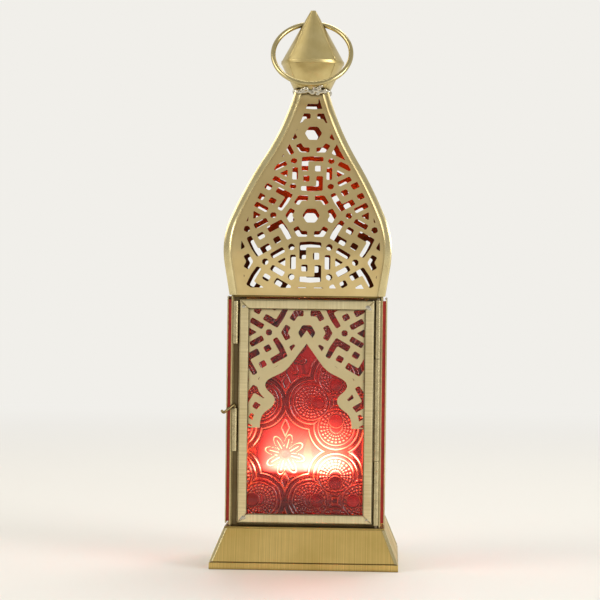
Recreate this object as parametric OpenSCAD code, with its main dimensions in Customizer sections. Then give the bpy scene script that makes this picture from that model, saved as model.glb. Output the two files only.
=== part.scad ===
// Square brass candle lantern: a flared base, a glazed body with a hinged door, a pierced
// ogee roof and a finial with a ring handle. The origin is the centre of the underside,
// +Z is up and the door faces -Y.

/* [Sheet, glass and wire] */
// Thickness of the brass sheet of base, posts and roof
sheet = 0.8; // [0.6:0.1:1]
// Thickness of frame strips, pierced plates and folded seams
trim_t = 0.6; // [0.5:0.1:0.8]
// Thickness of the pressed glass
glass_t = 1.6; // [1.2:0.1:2.2]
// Gap left between pieces that move past each other
play = 0.2; // [0.15:0.05:0.3]
// Radial clearance of a pin in its tube
pin_play = 0.05; // [0.03:0.01:0.08]

/* [Base] */
// How far the foot stands out beyond the posts
base_spread = 9.25; // [8:0.25:14]
// Height from the table to the top of the slope
base_h = 20; // [16:0.5:26]
// Height of the upright lip round the foot
lip_h = 3.4; // [2.4:0.1:5]
// How far the lip stands out from the slope
lip_step = 0.5; // [0.3:0.1:0.8]
// Height of the crease above the lip
crease_h = 0.5; // [0.3:0.1:0.8]
// Width of the hem turned in under the foot
hem_w = 6; // [4:0.5:9]
// Width of the folded strips on the corners of the base
base_seam_w = 1.5; // [1:0.1:2.4]

/* [Body] */
// Width across the corner posts
body_w = 76; // [72:0.5:80]
// Height of the posts
post_h = 116.2; // [100:1:130]
// Width of a post's side flange
flange_w = 10; // [9:0.5:12]
// Width of the strips that frame the glass
strip_w = 5.1; // [4.2:0.1:6]
// Gap between a fixed frame and the floor below or the roof above
frame_gap = 1.4; // [1:0.1:2]
// How far a fixed frame stays inside the body's corner
frame_inset = 1; // [0.6:0.1:2]
// Height of the sill strip inside the body
sill_h = 5; // [3:0.5:8]

/* [Door] */
// Gap between the door's edge and the body's outer face
door_margin = 3.85; // [3.75:0.05:4.4]
// Gap under the door
door_floor_gap = 1.4; // [1:0.1:2.5]
// Gap between the door and the roof
door_head_gap = 1.9; // [1.4:0.1:3]
// How far the door's face stands in front of the posts
door_proud = 0.4; // [0.2:0.1:0.8]
// Width of the bevel round the door's outer edge
bevel = 0.6; // [0.4:0.1:0.8]

/* [Hinge and catch] */
// Outer radius of the rolled hinge and catch tubes
tube_r = 1.4; // [1.3:0.05:1.5]
// Radius of the hinge pin
pin_r = 0.8; // [0.7:0.05:0.9]
// Height of the joint between the lower and the middle hinge tube above the floor
hinge_low = 33.6; // [26:0.5:42]
// Length of the middle hinge tube, which belongs to the door
hinge_mid = 51.2; // [40:0.5:60]
// Radius of the catch wire
catch_r = 0.7; // [0.6:0.05:0.8]
// Length of the catch tubes
catch_tube_l = 21.4; // [16:0.5:24]
// Gap between the upper catch tube and the roof
catch_head_gap = 3; // [2:0.5:6]
// Clear space between the two catch tubes
catch_gap = 32.6; // [26:0.5:34]
// Reach of the catch wire to the side of its tube
catch_reach = 8.5; // [6:0.5:10]

/* [Roof] */
// How far the roof's lower edge stands out beyond the posts
roof_overhang = 1; // [0:0.25:3]
// Height of the straight flare above the lower edge
flare_h = 16; // [12:0.5:20]
// Radius of the bulge
bulge_r = 43; // [40:1:48]
// Radius of the shoulder above the bulge
shoulder_r = 220; // [190:1:240]
// Radius of the hollow sweep up to the neck
sweep_r = 153; // [145:1:170]
// Width of the roof at the neck
neck_w = 17.4; // [15.5:0.1:20]
// Width of the folded seams on the roof's corners
seam_w = 3.4; // [2.6:0.1:4]
// Width of the hem turned in under the roof
roof_hem_w = 4.6; // [4.2:0.1:6]

/* [Pierced pattern] */
// Distance between two neighbouring hexagons of the pattern
cell = 48; // [40:1:56]
// Plain margin along the roof's corners
side_margin = 6.6; // [5:0.2:9]
// Plain margin along the roof's lower edge
eave_margin = 3.9; // [3:0.1:6]
// Sideways shift of the pattern on each roof panel
pattern_shift = 1.4; // [0:0.1:2]
// Plain band round the pointed arch of the side plates
arch_band = 3.9; // [3.4:0.1:5]
// Height of the lowest hexagon on the roof above the bulge, along the sheet
pattern_rise = 1.4; // [0:0.2:4]
// Size of the small cut across each corner of a hole
corner_cut = 0.5; // [0.3:0.05:0.6]

/* [Arch of the side plates] */
// Height of the pierced plate from its upper edge to its feet
plate_drop = 59.5; // [56:0.5:64]
// Distance from the plate's upper edge to the point of the arch
arch_top = 17; // [15:0.5:20]
// Half width of the arch at its shoulders
arch_half = 20.6; // [18:0.2:22]
// Height of the plate's hexagon above the point of the arch
fret_rise = 5.4; // [4:0.1:8]

/* [Finial and ring] */
// Half width of the finial at its rim
rim_half = 16; // [14:0.2:18]
// Height of the cup below the rim
cup_h = 14.6; // [12:0.5:18]
// Height of the rim band
rim_h = 1.8; // [1.2:0.1:2.4]
// Height of the spire above the rim
spire_h = 26.4; // [24:0.5:30]
// Half width of the spire's open tip
tip_half = 1.3; // [1:0.1:1.8]
// Radius of the ring handle to the middle of its wire
ring_r = 20; // [19:0.1:22]
// Radius of the ring's wire
wire_r = 1.25; // [1:0.05:1.4]
// Distance from the spire's tip down to the ring's holes
ring_drop = 7.3; // [7:0.1:9]
// Angle of the ring in front of hanging straight down
ring_tilt = 34.5; // [32:0.5:40]

/* [Candle] */
// Radius of the tealight's cup
tealight_r = 19.25; // [18:0.05:19.5]
// Height of the tealight's cup
tealight_h = 16; // [12:0.5:18]
// Wall of the tealight's cup
cup_wall = 0.3; // [0.2:0.05:0.5]
// Distance of the wax below the rim of its cup
wax_drop = 2.6; // [1.5:0.1:4]
// Radius of the wick
wick_r = 0.6; // [0.5:0.05:0.9]
// Length of wick above the wax
wick_l = 5; // [3:0.5:8]
// Height of the raised candle seat above the floor
seat_h = 7.5; // [5:0.5:10]
// Height of the collar that keeps the tealight in place
collar_h = 4; // [3:0.5:6]

/* [Hidden] */

// Quarter turns from the front: right, back and left
RIGHT = 90;
BACK = 180;
LEFT = 270;
// Every cut runs this far past the surface it leaves
over = 1;
arc_fn = 360;
round_fn = 96;
small_fn = 48;

brass = "#c8b67f";
gold = "#c9b26a";
glass = "#b00018";

// Heights that the pieces share
floor_z = base_h + sheet;
roof_z = floor_z + post_h;
body_half = body_w / 2;
base_w = body_w + 2 * base_spread;
roof_w = body_w + 2 * roof_overhang;

// Turns what is drawn in front of the axis to one of the four sides.
module side(turn) { rotate([0, 0, turn]) children(); }

// Runs a profile, drawn as [distance from the axis, height], along the front wall.
module along_wall(reach)
    mirror([0, 1, 0]) rotate([90, 0, 90]) translate([0, 0, -reach])
        linear_extrude(2 * reach) children();

// Keeps the part of a front wall between the two mitre planes.
module mitred(reach, low, high)
    intersection() {
        children();
        translate([0, 0, low]) linear_extrude(high - low)
            polygon([[0, 0], [-reach, -reach], [reach, -reach]]);
    }

// The corner block that two filled walls, one in front and one at the right, make together.
module corner_block(reach)
    intersection() {
        along_wall(reach) children();
        side(RIGHT) along_wall(reach) children();
    }

// Keeps what lies within the width given on both sides of the front right corner.
module corner_strip(reach, width, low, high)
    intersection() {
        children();
        translate([0, 0, low]) linear_extrude(high - low)
            polygon([
                [0, -width], [reach - width, -reach], [reach, -reach], [reach, width - reach], [width, 0]
            ]);
    }

// Base

slope_half = base_w / 2 - lip_step;
floor_half = body_half + glass_t + trim_t;
slope_angle = atan((slope_half - floor_half) / (base_h - lip_h - crease_h));
slope_wall = sheet / cos(slope_angle);
base_flange = 5 * sheet;

// One wall of the base: hem, upright lip, crease, slope and top flange, folded from one strip.
module base_wall() {
    foot = base_w / 2;
    slope_z = lip_h + crease_h;
    mitred(base_w, -over, base_h + over) along_wall(base_w)
        polygon([
            [foot - hem_w, 0], [foot, 0], [foot, lip_h],
            [slope_half - sheet / 2, lip_h], [slope_half - sheet / 2, slope_z],
            [slope_half, slope_z], [floor_half, base_h],
            [floor_half - base_flange, base_h], [floor_half - base_flange, base_h - sheet],
            [floor_half - slope_wall, base_h - sheet], [slope_half - 2 * sheet, slope_z],
            [slope_half - 2 * sheet, lip_h - sheet], [foot - sheet, lip_h - sheet],
            [foot - sheet, sheet], [foot - hem_w, sheet]
        ]);
}

module base_panel_front() { color(gold) base_wall(); }
module base_panel_right() { color(gold) side(RIGHT) base_wall(); }
module base_panel_back() { color(gold) side(BACK) base_wall(); }
module base_panel_left() { color(gold) side(LEFT) base_wall(); }

// The slope of the base filled to the axis, the given length outside its face.
module slope_fill(out) {
    slope_z = lip_h + crease_h;
    polygon([[-over, slope_z], [slope_half + out, slope_z], [floor_half + out, base_h], [-over, base_h]]);
}

// Folded strip over the front right corner of the base.
module base_seam()
    corner_strip(base_w, base_seam_w, 0, base_h) difference() {
        corner_block(base_w) slope_fill(trim_t / 2);
        corner_block(base_w) slope_fill(0);
    }

module base_seam_front_right() { color(brass) base_seam(); }
module base_seam_back_right() { color(brass) side(RIGHT) base_seam(); }
module base_seam_back_left() { color(brass) side(BACK) base_seam(); }
module base_seam_front_left() { color(brass) side(LEFT) base_seam(); }

// Floor of the lantern, which rests on the flanges of the base.
module floor_plate() {
    color(gold) translate([-floor_half, -floor_half, base_h]) cube([2 * floor_half, 2 * floor_half, sheet]);
}

// Body

door_front = body_half + door_proud;
door_t = 3 * trim_t + glass_t + play;
rebate_front = door_front - door_t - play;
rebate_in = body_half - 1.4 * strip_w;
inner_half = rebate_front - sheet;

// Upright square strip inside the posts, which stiffens them and stops the door.
module square_band(half, wall, low, high) {
    difference() {
        translate([-half, -half, low]) cube([2 * half, 2 * half, high - low]);
        translate([wall - half, wall - half, low - over])
            cube([2 * (half - wall), 2 * (half - wall), high - low + 2 * over]);
    }
}

module sill_frame() { color(brass) square_band(inner_half, sheet, floor_z, floor_z + sill_h); }

// Flat square ring that ties the posts under the hem of the roof.
module head_plate() {
    color(brass) square_band(body_half - sheet, body_half - inner_half, roof_z - sheet, roof_z);
}

// Front right post: a side flange, and a rebate that the door closes against.
module front_post() {
    color(brass) {
        translate([body_half - sheet, -body_half, floor_z]) cube([sheet, flange_w, post_h]);
        translate([rebate_in, -rebate_front, floor_z])
            cube([body_half - sheet - rebate_in, sheet, post_h - sheet]);
    }
}

// Back right post: a plain folded angle.
module back_post() {
    color(brass) {
        translate([body_half - sheet, body_half - flange_w, floor_z]) cube([sheet, flange_w, post_h]);
        translate([body_half - flange_w, body_half - sheet, floor_z]) cube([flange_w, sheet, post_h]);
    }
}

module post_front_right() { front_post(); }
module post_front_left() { mirror([1, 0, 0]) front_post(); }
module post_back_right() { back_post(); }
module post_back_left() { mirror([1, 0, 0]) back_post(); }

// Frames

// A strip along X with its outer edge at height zero, mitred at both ends to the width given.
// The profile is drawn as [depth behind the face, distance from the outer edge].
module mitred_strip(length, width)
    intersection() {
        rotate([90, 0, 90]) translate([0, 0, -length / 2]) linear_extrude(length) children();
        rotate([90, 0, 0]) translate([0, 0, -length]) linear_extrude(2 * length)
            polygon([
                [-length / 2, 0], [length / 2, 0],
                [length / 2 - width - over, width + over], [-length / 2 + width + over, width + over]
            ]);
    }

// The four sides of a frame of the size given, centred on X, standing on height zero.
module frame_bottom(w) mitred_strip(w, strip_w) children();
module frame_top(w, h) translate([0, 0, h]) rotate([0, 180, 0]) mitred_strip(w, strip_w) children();
module frame_right_stile(w, h)
    translate([w / 2, 0, h / 2]) rotate([0, -90, 0]) mitred_strip(h, strip_w) children();
module frame_left_stile(w, h)
    translate([-w / 2, 0, h / 2]) rotate([0, 90, 0]) mitred_strip(h, strip_w) children();

fixed_w = body_w - 2 * frame_inset;
fixed_z = floor_z + frame_gap;
fixed_h = post_h - 2 * frame_gap;
pane_inset = strip_w / 5;

// Section of a flat plate of the width given, with both edges bevelled.
module bevelled_section(w)
    polygon([
        [-w / 2, trim_t], [-w / 2, trim_t / 2], [bevel - w / 2, 0],
        [w / 2 - bevel, 0], [w / 2, trim_t / 2], [w / 2, trim_t]
    ]);

// The frame soldered over a fixed pane, drawn on the front: a bevelled plate with an opening.
module fixed_frame()
    color(brass) translate([0, -floor_half, fixed_z + fixed_h / 2]) difference() {
        intersection() {
            translate([0, 0, -fixed_h / 2]) linear_extrude(fixed_h) bevelled_section(fixed_w);
            translate([-fixed_w / 2, 0, 0]) rotate([0, 90, 0]) linear_extrude(fixed_w)
                bevelled_section(fixed_h);
        }
        translate([strip_w - fixed_w / 2, -over, strip_w - fixed_h / 2])
            cube([fixed_w - 2 * strip_w, trim_t + 2 * over, fixed_h - 2 * strip_w]);
    }

module frame_right() { side(RIGHT) fixed_frame(); }
module frame_back() { side(BACK) fixed_frame(); }
module frame_left() { side(LEFT) fixed_frame(); }

// A fixed pane of glass, which lies between the posts and its frame.
module fixed_pane()
    color(glass) translate([pane_inset - fixed_w / 2, -body_half - glass_t, fixed_z + pane_inset])
        cube([fixed_w - 2 * pane_inset, glass_t, fixed_h - 2 * pane_inset]);

module pane_right() { side(RIGHT) fixed_pane(); }
module pane_back() { side(BACK) fixed_pane(); }
module pane_left() { side(LEFT) fixed_pane(); }

// Pierced pattern: a lattice of hexagons, each ringed by six chevrons, with a star of bars on
// each three-fold point and a meander on each two-fold point. Its places are shares of the cell.

hexagon_share = 0.092;
chevron_tip_share = 0.271;
chevron_bar_share = 0.0625;
chevron_arm_share = 0.1;
diamond_place_share = 0.396;
diamond_share = 0.033;
star_place_share = 1 / sqrt(3);
star_share = 0.056;
bar_place_share = 0.108;
bar_shares = [0.03, 0.076];
meander_half_share = 0.1146;
meander_arc_share = 0.717;
meander_bar_share = 0.054;
meander_leg_share = 0.07;
meander_foot_share = 0.031;
dot_place_shares = [0.06, 0.0625];
dot_shares = [0.033, 0.036];

// The outline with each corner cut off by the length given.
function eased(points, cut) = [
    for (i = [0:len(points) - 1], step = [-1, 1])
        let (p = points[i], q = points[(i + step + len(points)) % len(points)])
            p + cut * (q - p) / norm(q - p)
];
function turned(points, angle) = [
    for (p = points) [p.x * cos(angle) - p.y * sin(angle), p.x * sin(angle) + p.y * cos(angle)]
];
function moved(points, by) = [for (p = points) p + by];
function ngon(r, n, start) = [for (i = [0:n - 1]) r * [cos(start + i * 360 / n), sin(start + i * 360 / n)]];
function box_points(half) = [[-half.x, -half.y], [half.x, -half.y], [half.x, half.y], [-half.x, half.y]];

// A bent bar with its tip on the X axis, its arms running back along a hexagon's sides.
chevron =
    let (
        tip = cell * chevron_tip_share, arm = cell * chevron_arm_share, bar = cell * chevron_bar_share,
        out = [tip - arm / 2, arm * sin(60)], inner = out - bar * [cos(30), sin(30)],
        notch = tip - bar / cos(30)
    )
    [[tip, 0], out, inner, [notch, 0], [inner.x, -inner.y], [out.x, -out.y]];

// Half of the meander above the X axis: an L whose long edge follows a circle about the
// next hexagon, and the other half turned about the middle.
meander_arc = function (x) sqrt(pow(meander_arc_share * cell, 2) - x * x) - cell / 2;
meander_hook =
    let (
        half = cell * meander_half_share, bar = cell * meander_bar_share,
        leg = cell * meander_leg_share, foot = cell * meander_foot_share
    )
    [
        [-half, foot], [leg - half, foot], [leg - half, meander_arc(half) - bar],
        [half, meander_arc(half) - bar], [half, meander_arc(half)],
        [0, meander_arc(0)], [-half, meander_arc(half)]
    ];
meander_dot = moved(box_points(cell * dot_shares), cell * dot_place_shares);

// All holes that belong to one hexagon, about its centre. The stars are those to its left
// and right, and the meanders those in the first half turn.
lattice_unit = concat(
    [eased(ngon(cell * hexagon_share, 6, 0), corner_cut)],
    [for (a = [0:60:300]) turned(eased(chevron, corner_cut), a)],
    [for (a = [0:60:300])
        turned(moved(eased(ngon(cell * diamond_share * sqrt(2), 4, 0), 2 * corner_cut),
            [cell * diamond_place_share, 0]), a)],
    [for (turn = [0, 180])
        turned(moved(eased(ngon(cell * star_share, 3, 180), corner_cut),
            [cell * star_place_share, 0]), turn)],
    [for (turn = [0, 180], a = [0, 120, 240])
        turned(moved(turned(moved(eased(box_points(cell * bar_shares), corner_cut),
            [cell * bar_place_share, 0]), a), [cell * star_place_share, 0]), turn)],
    [for (turn = [0, 60, 120], half = [0, 180])
        turned(moved(turned(eased(meander_hook, corner_cut), half), [0, cell / 2]), turn - 60)],
    [for (turn = [0, 60, 120], half = [0, 180])
        turned(moved(turned(eased(meander_dot, corner_cut), half), [0, cell / 2]), turn - 60)]
);

// The middle of an outline's box.
function middle(points) =
    let (xs = [for (p = points) p.x], ys = [for (p = points) p.y])
        [(min(xs) + max(xs)) / 2, (min(ys) + max(ys)) / 2];

// The lattice's holes, about a hexagon at the origin, whose middles lie in the ranges given.
function lattice(half_w, low, high) = [
    for (i = [-ceil(half_w / cell) - 1:ceil(half_w / cell) + 1])
        for (j = [floor(low / cell) - 2:ceil(high / cell) + 2])
            let (at = cell * [i * cos(30), i * sin(30) + j])
                for (hole = lattice_unit)
                    let (m = middle(hole) + at)
                        if (abs(m.x) < half_w && m.y >= low && m.y < high) moved(hole, at)
];

// Side plates

// Right half of the arch from its point down: shares of the arch's half width and of the
// height from its point to the plate's feet.
arch_shares = [
    [0, 0], [0.2, 0.132], [0.417, 0.275], [0.59, 0.345], [0.84, 0.405], [0.965, 0.45], [1, 0.503],
    [0.945, 0.555], [0.82, 0.61], [0.765, 0.655], [0.775, 0.711], [0.87, 0.77], [1, 0.815],
    [1.08, 0.87], [1.115, 0.94], [1.117, 1]
];
arch_foot_share = arch_shares[len(arch_shares) - 1].x;
plate_out = strip_w / 2;

// The points with one more between each two, on a smooth curve through all.
function smoothed(points) =
    let (last = len(points) - 1)
        concat(
            [for (i = [0:last - 1])
                let (b = points[i], c = points[i + 1],
                    ends = points[max(i - 1, 0)] + points[min(i + 2, last)])
                    each [b, (9 * (b + c) - ends) / 16]],
            [points[last]]
        );

function arch_outline() =
    let (h = plate_drop - arch_top,
        half = smoothed([for (p = arch_shares) [p.x * arch_half, -arch_top - p.y * h]]))
        concat(
            half,
            [for (end = [1, -1]) [end * arch_foot_share * arch_half, -plate_drop - over]],
            [for (i = [len(half) - 1:-1:1]) [-half[i].x, half[i].y]]
        );

// A pierced plate with a pointed arch, hanging from height zero. The rim is what lies
// under the frame at its sides and top. The pattern, which is the roof's seen in a mirror,
// stops at the frame and at a plain edge inside it.
module arch_plate(w, rim, edge)
    translate([0, trim_t, 0]) rotate([90, 0, 0]) linear_extrude(trim_t)
        difference() {
            translate([-w / 2 - rim, -plate_drop]) square([w + 2 * rim, plate_drop + rim]);
            polygon(arch_outline());
            intersection() {
                translate([0, fret_rise - arch_top]) mirror([1, 0])
                    for (hole = lattice(w / 2 + cell / 8, -plate_drop, cell / 2)) polygon(hole);
                difference() {
                    translate([edge - w / 2, trim_t - plate_drop])
                        square([w - 2 * edge, plate_drop - trim_t - edge]);
                    offset(delta = arch_band) polygon(arch_outline());
                }
            }
        }

module fixed_fret()
    color(brass) translate([0, -floor_half, fixed_z + fixed_h - strip_w])
        arch_plate(fixed_w - 2 * strip_w, 0, trim_t);

module fret_right() { side(RIGHT) fixed_fret(); }
module fret_back() { side(BACK) fixed_fret(); }
module fret_left() { side(LEFT) fixed_fret(); }

// Door

door_w = body_w - 2 * door_margin;
door_z = floor_z + door_floor_gap;
door_h = post_h - door_floor_gap - door_head_gap;
channel_back = 0.8 * strip_w;

// Folded channel that holds the glass: bevelled face, outer web and a narrower back.
module channel()
    polygon([
        [0, bevel], [bevel, 0], [door_t, 0], [door_t, channel_back],
        [door_t - trim_t, channel_back], [door_t - trim_t, trim_t + bevel],
        [trim_t, trim_t + bevel], [trim_t, strip_w], [0, strip_w]
    ]);

module on_door() translate([0, -door_front, door_z]) children();

module door_stile_hinge() { color(brass) on_door() frame_right_stile(door_w, door_h) channel(); }
module door_stile_catch() { color(brass) on_door() frame_left_stile(door_w, door_h) channel(); }
module door_rail_top() { color(brass) on_door() frame_top(door_w, door_h) channel(); }
module door_rail_bottom() { color(brass) on_door() frame_bottom(door_w) channel(); }

// The door's glass, which slides in its channels.
module door_pane() {
    edge = trim_t + bevel;
    color(glass) on_door() translate([edge - door_w / 2, 2 * trim_t, edge])
        cube([door_w - 2 * edge, glass_t, door_h - 2 * edge]);
}

module door_fret() {
    color(brass) on_door() translate([0, trim_t, door_h - strip_w])
        arch_plate(door_w - 2 * strip_w, plate_out, 0);
}

// Hinge and catch

tube_bore = pin_r + pin_play;
tube_x = body_half - sheet - tube_r;
tube_y = -door_front + tube_r / 2;
hinge_z = floor_z + hinge_low;

module tube(r, bore, low, high)
    difference() {
        translate([0, 0, low]) cylinder(h = high - low, r = r, $fn = small_fn);
        translate([0, 0, low - over]) cylinder(h = high - low + 2 * over, r = bore, $fn = small_fn);
    }

// A tube rolled at the edge of a strip: the strip's end reaches the flange beside it.
module rolled_tube(bore, low, high, leaf) {
    difference() {
        union() {
            translate([0, 0, low]) cylinder(h = high - low, r = tube_r, $fn = small_fn);
            translate([0, 0, low]) linear_extrude(high - low) polygon(leaf);
        }
        translate([0, 0, low - over]) cylinder(h = high - low + 2 * over, r = bore, $fn = small_fn);
    }
}

// Leaf of a post's tube, which lies on the inside of the side flange.
post_leaf = [[tube_r / 2, 0], [tube_r, 0], [tube_r, tube_r], [tube_r / 2, tube_r]];
// Leaf of the door's tube, which reaches the stile.
door_leaf = [
    [tube_x - door_w / 2, -tube_r / 2 + bevel], [tube_x - door_w / 2, tube_r / 2],
    [tube_r / 2, tube_r / 2], [tube_r / 2, -tube_r / 2 + bevel]
];

module at_hinge() translate([tube_x, tube_y, 0]) children();
module at_catch() translate([-tube_x, tube_y, 0]) children();

module door_knuckle() {
    color(brass) at_hinge()
        rolled_tube(tube_bore, hinge_z, hinge_z + hinge_mid, [for (p = door_leaf) [-p.x, p.y]]);
}
module post_knuckle_lower() {
    color(brass) at_hinge() rolled_tube(tube_bore, floor_z + frame_gap, hinge_z - play, post_leaf);
}
module post_knuckle_upper() {
    color(brass) at_hinge()
        rolled_tube(tube_bore, hinge_z + hinge_mid + play, roof_z - door_head_gap, post_leaf);
}
module hinge_pin() {
    color("#8d8268") at_hinge() translate([0, 0, floor_z])
        cylinder(h = post_h - sheet - play, r = pin_r, $fn = small_fn);
}

catch_z = roof_z - catch_head_gap - 2 * catch_tube_l - catch_gap;
catch_top_z = catch_z + catch_tube_l;
catch_bore = catch_r + pin_play;
left_leaf = [for (p = post_leaf) [-p.x, p.y]];

module catch_tube_lower() {
    color(brass) at_catch() rolled_tube(catch_bore, catch_z, catch_top_z, left_leaf);
}
module catch_tube_upper() {
    color(brass) at_catch() translate([0, 0, catch_tube_l + catch_gap])
        rolled_tube(catch_bore, catch_z, catch_top_z, left_leaf);
}

// Wire catch: a leg that turns in the lower tube, a hammered bend, a falling arm and a
// turned-up end, all in one upright plane through the tube.
catch_fall_angle = 30;
catch_turn_angle = 45;
bend_r = 1.15 * catch_r;

module run(length) cylinder(h = length, r = catch_r, $fn = small_fn);
module bend() sphere(r = bend_r, $fn = small_fn);

module catch_hook() {
    leg = 0.8 * catch_tube_l;
    rise = 3 * catch_r;
    end = 2 * catch_r;
    color(brass) at_catch() rotate([0, 0, 180 + catch_turn_angle]) translate([0, 0, catch_top_z - leg]) {
        run(leg + rise);
        translate([0, 0, leg + rise]) {
            bend();
            rotate([0, 90 + catch_fall_angle, 0]) {
                run(catch_reach);
                translate([0, 0, catch_reach]) {
                    bend();
                    rotate([0, -catch_fall_angle - catch_turn_angle, 0]) run(end);
                }
            }
        }
    }
}

// Roof: each side follows a straight flare, a round bulge, a shoulder and a hollow sweep,
// all tangent. A lean is the angle from upright, outwards above zero.

flare_angle = 9;
shoulder_angle = -22.3;
neck_angle = -15.652;

// From a point on the outline, the centre of the arc that starts there.
function bulge_centre(p, r, lean) = p + r * [-cos(lean), sin(lean)];
function on_bulge(c, r, lean) = c + r * [cos(lean), -sin(lean)];
function on_sweep(c, r, lean) = c - r * [cos(lean), -sin(lean)];

eave_point = [roof_w / 2 - trim_t, roof_z];
flare_top = eave_point + flare_h * [tan(flare_angle), 1];
bulge_c = bulge_centre(flare_top, bulge_r, flare_angle);
bulge_top = on_bulge(bulge_c, bulge_r, shoulder_angle);
shoulder_c = bulge_centre(bulge_top, shoulder_r, shoulder_angle);
neck_half = neck_w / 2 - trim_t;
// The lean at which the shoulder turns into the sweep, so that the sweep ends at the neck.
sweep_angle = -acos((neck_half - shoulder_c.x + sweep_r * cos(neck_angle)) / (shoulder_r + sweep_r));
shoulder_top = on_bulge(shoulder_c, shoulder_r, sweep_angle);
sweep_c = shoulder_top + sweep_r * [cos(sweep_angle), -sin(sweep_angle)];
neck_z = on_sweep(sweep_c, sweep_r, neck_angle).y;

flare_l = flare_h / cos(flare_angle);
bulge_l = bulge_r * (flare_angle - shoulder_angle) * PI / 180;
shoulder_l = shoulder_r * (shoulder_angle - sweep_angle) * PI / 180;
sweep_l = sweep_r * (neck_angle - sweep_angle) * PI / 180;
roof_l = flare_l + bulge_l + shoulder_l + sweep_l;

// The outline's lean and point at a length along the sheet from the lower edge.
function angle_at(s) =
    s < flare_l ? flare_angle
    : s < flare_l + bulge_l ? flare_angle - (s - flare_l) / bulge_r * 180 / PI
    : s < roof_l - sweep_l ? shoulder_angle - (s - flare_l - bulge_l) / shoulder_r * 180 / PI
    : sweep_angle + (s - roof_l + sweep_l) / sweep_r * 180 / PI;
function outline_at(s) =
    s < flare_l ? eave_point + s * [sin(flare_angle), cos(flare_angle)]
    : s < flare_l + bulge_l ? on_bulge(bulge_c, bulge_r, angle_at(s))
    : s < roof_l - sweep_l ? on_bulge(shoulder_c, shoulder_r, angle_at(s))
    : on_sweep(sweep_c, sweep_r, angle_at(s));

// Part of a ring about a centre, between two angles from the horizontal.
module arc_band(centre, r_in, r_out, from, to)
    translate(centre) intersection() {
        difference() {
            circle(r_out, $fn = arc_fn);
            circle(r_in, $fn = arc_fn);
        }
        polygon([[0, 0], 2 * r_out * [cos(from), sin(from)], 2 * r_out * [cos(to), sin(to)]]);
    }

// A layer of the roof's outline between two distances outside the sheet's face.
module roof_layer(low, high) {
    normal = [cos(flare_angle), -sin(flare_angle)];
    polygon([
        eave_point + low * normal, eave_point + high * normal,
        flare_top + high * normal, flare_top + low * normal
    ]);
    arc_band(bulge_c, bulge_r + low, bulge_r + high, -flare_angle, -shoulder_angle);
    arc_band(shoulder_c, shoulder_r + low, shoulder_r + high, -shoulder_angle, -sweep_angle);
    arc_band(sweep_c, sweep_r - high, sweep_r - low, 180 - sweep_angle, 180 - neck_angle);
}

hexagon_s = flare_l + bulge_l + pattern_rise;
pierce_bands = 5;

// The holes of one level band of a panel as seen from the front.
module roof_holes(band) {
    steps = 24;
    edge = [for (i = [0:steps]) outline_at(eave_margin + i * (roof_l - 2 * eave_margin) / steps)];
    low = band * roof_l / pierce_bands - hexagon_s;
    translate([pattern_shift, 0]) intersection() {
        for (hole = lattice(roof_w / 2, low, low + roof_l / pierce_bands))
            polygon([for (p = hole) [p.x, outline_at(hexagon_s + p.y).y]]);
        polygon(concat(
            [for (p = edge) [p.x - side_margin, p.y]],
            [for (i = [steps:-1:0]) [side_margin - edge[i].x, edge[i].y]]
        ));
    }
}

// Pierces what is drawn on the front, one band after another from the top.
module pierced(band = 0)
    difference() {
        if (band < pierce_bands - 1) pierced(band + 1) children();
        else children();
        rotate([90, 0, 0]) linear_extrude(roof_w) roof_holes(band);
    }

// One side of the roof: a curved sheet with a hem, mitred at its corners and pierced.
module roof_wall()
    pierced() mitred(roof_w, roof_z, neck_z) along_wall(roof_w) {
        roof_layer(-sheet, 0);
        translate([eave_point.x - roof_hem_w, roof_z]) square([roof_hem_w - sheet / 2, sheet]);
    }

module roof_panel_front() { color(brass) roof_wall(); }
module roof_panel_right() { color(brass) side(RIGHT) roof_wall(); }
module roof_panel_back() { color(brass) side(BACK) roof_wall(); }
module roof_panel_left() { color(brass) side(LEFT) roof_wall(); }

// Lengths along the sheet at which the seams are creased by hand, closest on the bulge.
bulge_steps = 12;
shoulder_steps = 8;
sweep_steps = 12;
// Clearance between a creased seam and the round sheet under it
seam_play = trim_t / 30;
creases = concat(
    [0],
    [for (i = [0:bulge_steps - 1]) flare_l + i * bulge_l / bulge_steps],
    [for (i = [0:shoulder_steps - 1]) flare_l + bulge_l + i * shoulder_l / shoulder_steps],
    [for (i = [0:sweep_steps]) roof_l + (i / sweep_steps - 1) * sweep_l]
);

// The roof's outline filled to the axis, the given length outside the sheet's face.
module roof_fill(out) {
    edge = [for (s = creases) outline_at(s) + out * [cos(angle_at(s)), -sin(angle_at(s))]];
    polygon(concat(
        [[-over, roof_z - over], [edge[0].x, roof_z - over]],
        edge,
        [[edge[len(edge) - 1].x, neck_z + over], [-over, neck_z + over]]
    ));
}

// Folded strip over the front right corner of the roof.
module roof_seam()
    corner_strip(roof_w, seam_w, roof_z, neck_z) difference() {
        corner_block(roof_w) roof_fill(trim_t);
        corner_block(roof_w) roof_fill(seam_play);
    }

module roof_seam_front_right() { color(brass) roof_seam(); }
module roof_seam_back_right() { color(brass) side(RIGHT) roof_seam(); }
module roof_seam_back_left() { color(brass) side(BACK) roof_seam(); }
module roof_seam_front_left() { color(brass) side(LEFT) roof_seam(); }

// Finial

// Section of the finial: a square with sides that swell to arcs, one unit from its middle.
corner_share = 0.75;
side_arc_share = (corner_share * corner_share + pow(1 - corner_share, 2)) / (2 * (1 - corner_share));
side_arc_half = asin(corner_share / side_arc_share);
arc_steps = 8;
finial_section = [
    for (turn = [0:90:270], i = [0:arc_steps - 1])
        let (a = turn - side_arc_half + i * 2 * side_arc_half / arc_steps,
            c = (1 - side_arc_share) * [cos(turn), sin(turn)])
            c + side_arc_share * [cos(a), sin(a)]
];

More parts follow.
